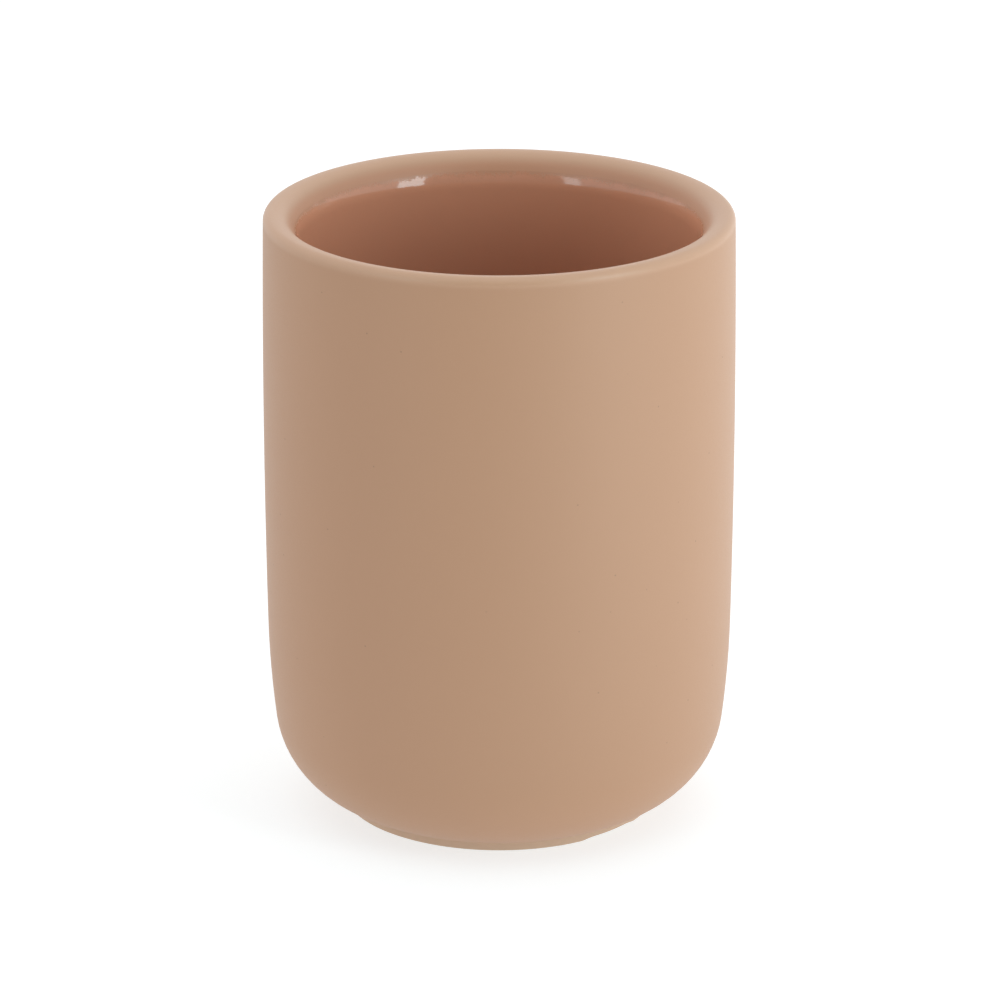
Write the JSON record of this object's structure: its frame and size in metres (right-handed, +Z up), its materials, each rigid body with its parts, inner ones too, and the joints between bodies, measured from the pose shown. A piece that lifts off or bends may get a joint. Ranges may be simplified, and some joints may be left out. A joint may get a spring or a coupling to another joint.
{
  "type": "bathroom tumbler",
  "caption": "Thick-walled round stoneware bathroom tumbler with a rounded lip, round heel and low foot ring, matte soft-touch coat outside and glossy glaze inside.",
  "frame": {"origin": "centre of the foot ring, on the surface that the tumbler stands on", "axes": "+Z up along the cup's axis; the front faces -Y; the two drain notches in the foot ring lie on the line at 45 degrees between +X and -Y"},
  "size_m": [0.076, 0.076, 0.1],
  "materials": {
    "stoneware": "bare fired clay, fine grained",
    "glaze": "glossy glaze in the coat's colour",
    "coat": "matte soft-touch lacquer"
  },
  "bodies": {
    "root": {"stoneware_body": "stoneware", "inner_glaze": "glaze", "base_glaze": "glaze", "soft_touch_coat": "coat"}
  },
  "joints": []
}
